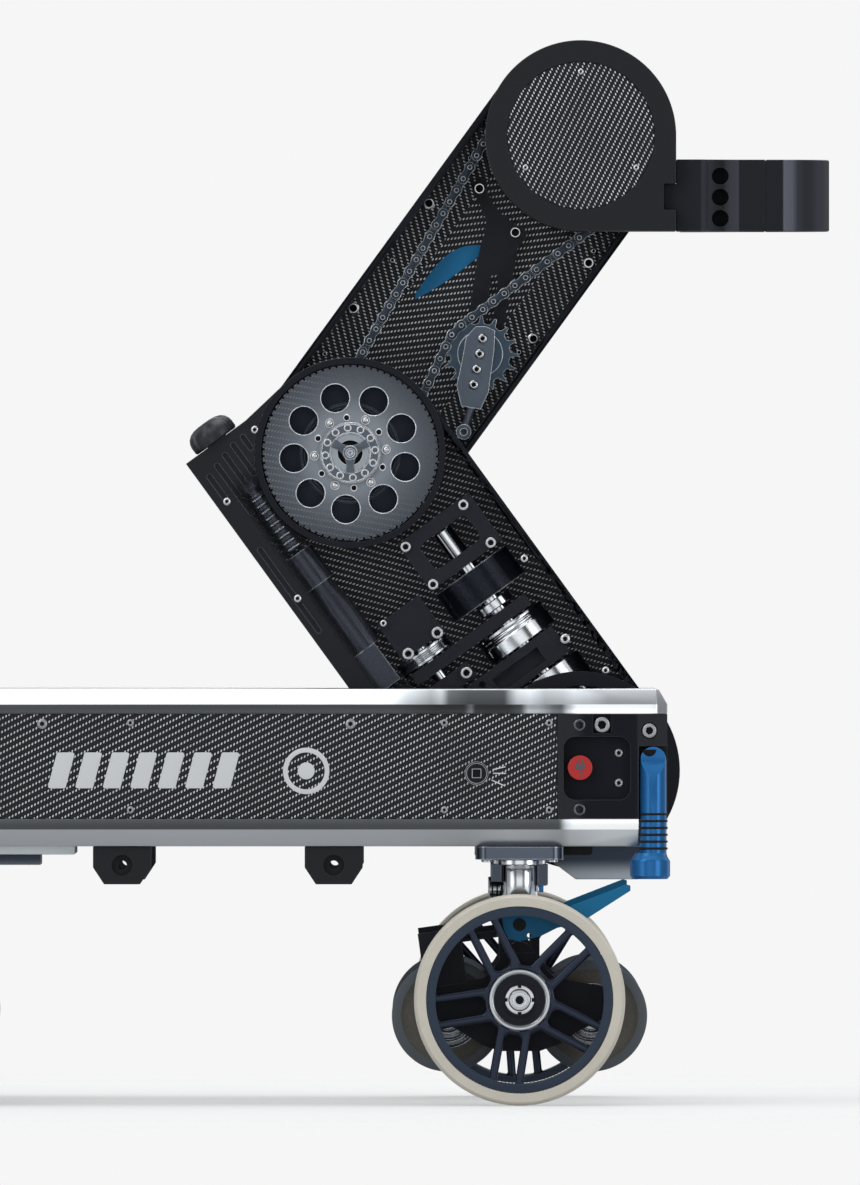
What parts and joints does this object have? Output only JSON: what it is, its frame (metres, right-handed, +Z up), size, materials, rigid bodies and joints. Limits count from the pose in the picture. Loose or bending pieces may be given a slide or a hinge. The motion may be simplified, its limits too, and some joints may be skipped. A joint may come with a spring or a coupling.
{
  "type": "camera dolly",
  "caption": "Four-wheel steering camera track dolly with combination studio and rail wheels and a folding two-link lift arm carrying a level column clamp.",
  "frame": {"origin": "on the floor under the middle of the whole machine, arm at its mid height", "axes": "+Z up, +X towards the lift end with the column clamp, -Y the near side with the selector and the power button"},
  "size_m": [1.0566, 0.778, 1.0121],
  "materials": {
    "deck_aluminium": "brushed and clear anodised",
    "frame_aluminium": "satin anodised",
    "carbon": "twill carbon fibre under clear lacquer",
    "black_anodised": "matte black anodised",
    "black_casting": "fine black powder coat",
    "polished_steel": "polished",
    "machined_steel": "machined",
    "screw_steel": "bright plated",
    "blue_anodised": "satin blue anodised",
    "red_cap": "satin red",
    "tyre_polyurethane": "matte cream polyurethane",
    "rim_dark": "dark slate anodised, turned",
    "rail_wheel": "slate polyurethane over a turned core",
    "smoked_cover": "thin smoked clear cover",
    "gear_slate": "hard anodised slate",
    "fork_steel": "polished steering tube"
  },
  "bodies": {
    "chassis": {"top_deck": "deck_aluminium", "chassis_frame": "frame_aluminium", "side_panels": "carbon", "corner_blocks": "black_casting", "tow_lugs": "black_anodised", "kingpin_flanges": "machined_steel", "chassis_screws": "screw_steel", "base_shaft": "machined_steel"},
    "lower_arm": {"lower_arm_frame": "black_anodised", "lower_arm_back": "carbon", "lower_arm_cover": "smoked_cover", "motor_housing_cover": "black_anodised", "pivot_rings": "black_anodised", "elbow_motor": "black_anodised", "drive_bracket": "black_anodised", "lift_motor": "black_anodised", "elbow_sprocket": "machined_steel"},
    "upper_arm": {"upper_arm_frame": "black_anodised", "upper_arm_back": "carbon", "upper_arm_cover": "smoked_cover", "head_chain": "machined_steel", "tensioner_arm": "black_anodised", "elbow_gear": "gear_slate"},
    "head": {"head_housing": "black_anodised", "head_disc": "carbon", "head_bracket": "black_anodised", "clamp_cap": "black_anodised", "head_sprocket": "machined_steel"},
    "elbow_worm": {"elbow_worm": "black_anodised"},
    "lift_spindle": {"lift_spindle": "polished_steel"},
    "motor_pulley": {"motor_pulley": "polished_steel"},
    "tensioner_sprocket": {"tensioner_sprocket": "gear_slate"},
    "selector_knob": {"selector_knob": "black_anodised"},
    "power_button": {"power_button": "red_cap"},
    "handle_near": {"handle_near": "blue_anodised"},
    "handle_far": {"handle_far": "blue_anodised"},
    "steer_nr": {"steer_fork_nr": "fork_steel"},
    "wheel_nr": {"wheel_rim_nr": "rim_dark", "wheel_tyre_nr": "tyre_polyurethane"},
    "rail_wheel_a_nr": {"rail_wheel_a_nr": "rail_wheel"},
    "rail_wheel_b_nr": {"rail_wheel_b_nr": "rail_wheel"},
    "brake_lever_nr": {"brake_lever_nr": "blue_anodised"},
    "steer_nl": {"steer_fork_nl": "fork_steel"},
    "wheel_nl": {"wheel_rim_nl": "rim_dark", "wheel_tyre_nl": "tyre_polyurethane"},
    "rail_wheel_a_nl": {"rail_wheel_a_nl": "rail_wheel"},
    "rail_wheel_b_nl": {"rail_wheel_b_nl": "rail_wheel"},
    "brake_lever_nl": {"brake_lever_nl": "blue_anodised"},
    "steer_fr": {"steer_fork_fr": "fork_steel"},
    "wheel_fr": {"wheel_rim_fr": "rim_dark", "wheel_tyre_fr": "tyre_polyurethane"},
    "rail_wheel_a_fr": {"rail_wheel_a_fr": "rail_wheel"},
    "rail_wheel_b_fr": {"rail_wheel_b_fr": "rail_wheel"},
    "brake_lever_fr": {"brake_lever_fr": "blue_anodised"},
    "steer_fl": {"steer_fork_fl": "fork_steel"},
    "wheel_fl": {"wheel_rim_fl": "rim_dark", "wheel_tyre_fl": "tyre_polyurethane"},
    "rail_wheel_a_fl": {"rail_wheel_a_fl": "rail_wheel"},
    "rail_wheel_b_fl": {"rail_wheel_b_fl": "rail_wheel"},
    "brake_lever_fl": {"brake_lever_fl": "blue_anodised"}
  },
  "joints": [
    {"name": "arm_lift", "type": "hinge", "parent": "chassis", "child": "lower_arm", "pos_m": [0.2907, 0, 0.316], "axis": [0, 1, 0], "range_deg": [-38, 26]},
    {"name": "elbow", "type": "hinge", "parent": "lower_arm", "child": "upper_arm", "pos_m": [0.07087, 0, 0.61857], "axis": [0, 1, 0], "range_deg": [-52, 76]},
    {"name": "head_level", "type": "hinge", "parent": "upper_arm", "child": "head", "pos_m": [0.2907, 0, 0.92114], "axis": [0, 1, 0], "range_deg": [-38, 26]},
    {"name": "worm_turn", "type": "hinge", "parent": "lower_arm", "child": "elbow_worm", "pos_m": [-0.0072, -0.066, 0.56185], "axis": [-0.5878, 0, 0.809], "continuous": true},
    {"name": "spindle_turn", "type": "hinge", "parent": "lower_arm", "child": "lift_spindle", "pos_m": [0.22438, -0.036, 0.45322], "axis": [-0.5878, 0, 0.809], "continuous": true},
    {"name": "pulley_turn", "type": "hinge", "parent": "lower_arm", "child": "motor_pulley", "pos_m": [0.14253, -0.028, 0.42466], "axis": [-0.5878, 0, 0.809], "continuous": true},
    {"name": "tensioner_turn", "type": "hinge", "parent": "upper_arm", "child": "tensioner_sprocket", "pos_m": [0.19488, 0.044, 0.71389], "axis": [0, 1, 0], "continuous": true},
    {"name": "mode_select", "type": "hinge", "parent": "chassis", "child": "selector_knob", "pos_m": [0.191, -0.352, 0.3142], "axis": [0, 1, 0], "range_deg": [-13, 24]},
    {"name": "power_press", "type": "slide", "parent": "chassis", "child": "power_button", "axis": [0, 1, 0], "range_m": [0, 0.003]},
    {"name": "handle_near_swing", "type": "hinge", "parent": "chassis", "child": "handle_near", "pos_m": [0.3583, -0.3368, 0.327], "axis": [0, -1, 0], "range_deg": [0, 90]},
    {"name": "handle_far_swing", "type": "hinge", "parent": "chassis", "child": "handle_far", "pos_m": [0.3583, 0.3368, 0.327], "axis": [0, -1, 0], "range_deg": [0, 90]},
    {"name": "steer_nr_turn", "type": "hinge", "parent": "chassis", "child": "steer_nr", "pos_m": [0.2317, -0.31, 0.2], "axis": [0, 0, 1], "range_deg": [-90, 90]},
    {"name": "wheel_nr_spin", "type": "hinge", "parent": "steer_nr", "child": "wheel_nr", "pos_m": [0.2317, -0.369, 0.1], "axis": [0, 1, 0], "continuous": true},
    {"name": "rail_wheel_a_nr_spin", "type": "hinge", "parent": "steer_nr", "child": "rail_wheel_a_nr", "pos_m": [0.1637, -0.31, 0.0845], "axis": [0, 1, 0], "continuous": true},
    {"name": "rail_wheel_b_nr_spin", "type": "hinge", "parent": "steer_nr", "child": "rail_wheel_b_nr", "pos_m": [0.2997, -0.31, 0.0845], "axis": [0, 1, 0], "continuous": true},
    {"name": "brake_nr_press", "type": "hinge", "parent": "steer_nr", "child": "brake_lever_nr", "pos_m": [0.2317, -0.342, 0.171], "axis": [0, 1, 0], "range_deg": [0, 18]},
    {"name": "steer_nl_turn", "type": "hinge", "parent": "chassis", "child": "steer_nl", "pos_m": [-0.3883, -0.31, 0.2], "axis": [0, 0, 1], "range_deg": [-90, 90]},
    {"name": "wheel_nl_spin", "type": "hinge", "parent": "steer_nl", "child": "wheel_nl", "pos_m": [-0.3883, -0.369, 0.1], "axis": [0, 1, 0], "continuous": true},
    {"name": "rail_wheel_a_nl_spin", "type": "hinge", "parent": "steer_nl", "child": "rail_wheel_a_nl", "pos_m": [-0.3203, -0.31, 0.0845], "axis": [0, 1, 0], "continuous": true},
    {"name": "rail_wheel_b_nl_spin", "type": "hinge", "parent": "steer_nl", "child": "rail_wheel_b_nl", "pos_m": [-0.4563, -0.31, 0.0845], "axis": [0, 1, 0], "continuous": true},
    {"name": "brake_nl_press", "type": "hinge", "parent": "steer_nl", "child": "brake_lever_nl", "pos_m": [-0.3883, -0.342, 0.171], "axis": [0, -1, 0], "range_deg": [0, 18]},
    {"name": "steer_fr_turn", "type": "hinge", "parent": "chassis", "child": "steer_fr", "pos_m": [0.2317, 0.31, 0.2], "axis": [0, 0, 1], "range_deg": [-90, 90]},
    {"name": "wheel_fr_spin", "type": "hinge", "parent": "steer_fr", "child": "wheel_fr", "pos_m": [0.2317, 0.369, 0.1], "axis": [0, 1, 0], "continuous": true},
    {"name": "rail_wheel_a_fr_spin", "type": "hinge", "parent": "steer_fr", "child": "rail_wheel_a_fr", "pos_m": [0.1637, 0.31, 0.0845], "axis": [0, 1, 0], "continuous": true},
    {"name": "rail_wheel_b_fr_spin", "type": "hinge", "parent": "steer_fr", "child": "rail_wheel_b_fr", "pos_m": [0.2997, 0.31, 0.0845], "axis": [0, 1, 0], "continuous": true},
    {"name": "brake_fr_press", "type": "hinge", "parent": "steer_fr", "child": "brake_lever_fr", "pos_m": [0.2317, 0.342, 0.171], "axis": [0, 1, 0], "range_deg": [0, 18]},
    {"name": "steer_fl_turn", "type": "hinge", "parent": "chassis", "child": "steer_fl", "pos_m": [-0.3883, 0.31, 0.2], "axis": [0, 0, 1], "range_deg": [-90, 90]},
    {"name": "wheel_fl_spin", "type": "hinge", "parent": "steer_fl", "child": "wheel_fl", "pos_m": [-0.3883, 0.369, 0.1], "axis": [0, 1, 0], "continuous": true},
    {"name": "rail_wheel_a_fl_spin", "type": "hinge", "parent": "steer_fl", "child": "rail_wheel_a_fl", "pos_m": [-0.3203, 0.31, 0.0845], "axis": [0, 1, 0], "continuous": true},
    {"name": "rail_wheel_b_fl_spin", "type": "hinge", "parent": "steer_fl", "child": "rail_wheel_b_fl", "pos_m": [-0.4563, 0.31, 0.0845], "axis": [0, 1, 0], "continuous": true},
    {"name": "brake_fl_press", "type": "hinge", "parent": "steer_fl", "child": "brake_lever_fl", "pos_m": [-0.3883, 0.342, 0.171], "axis": [0, -1, 0], "range_deg": [0, 18]}
  ],
  "couplings": [
    {"joint": "elbow", "follows": "arm_lift", "ratio": -2},
    {"joint": "head_level", "follows": "arm_lift", "ratio": 1},
    {"joint": "worm_turn", "follows": "arm_lift", "ratio": 39},
    {"joint": "spindle_turn", "follows": "arm_lift", "ratio": 5},
    {"joint": "pulley_turn", "follows": "arm_lift", "ratio": 6.4},
    {"joint": "tensioner_turn", "follows": "arm_lift", "ratio": -2.375}
  ]
}
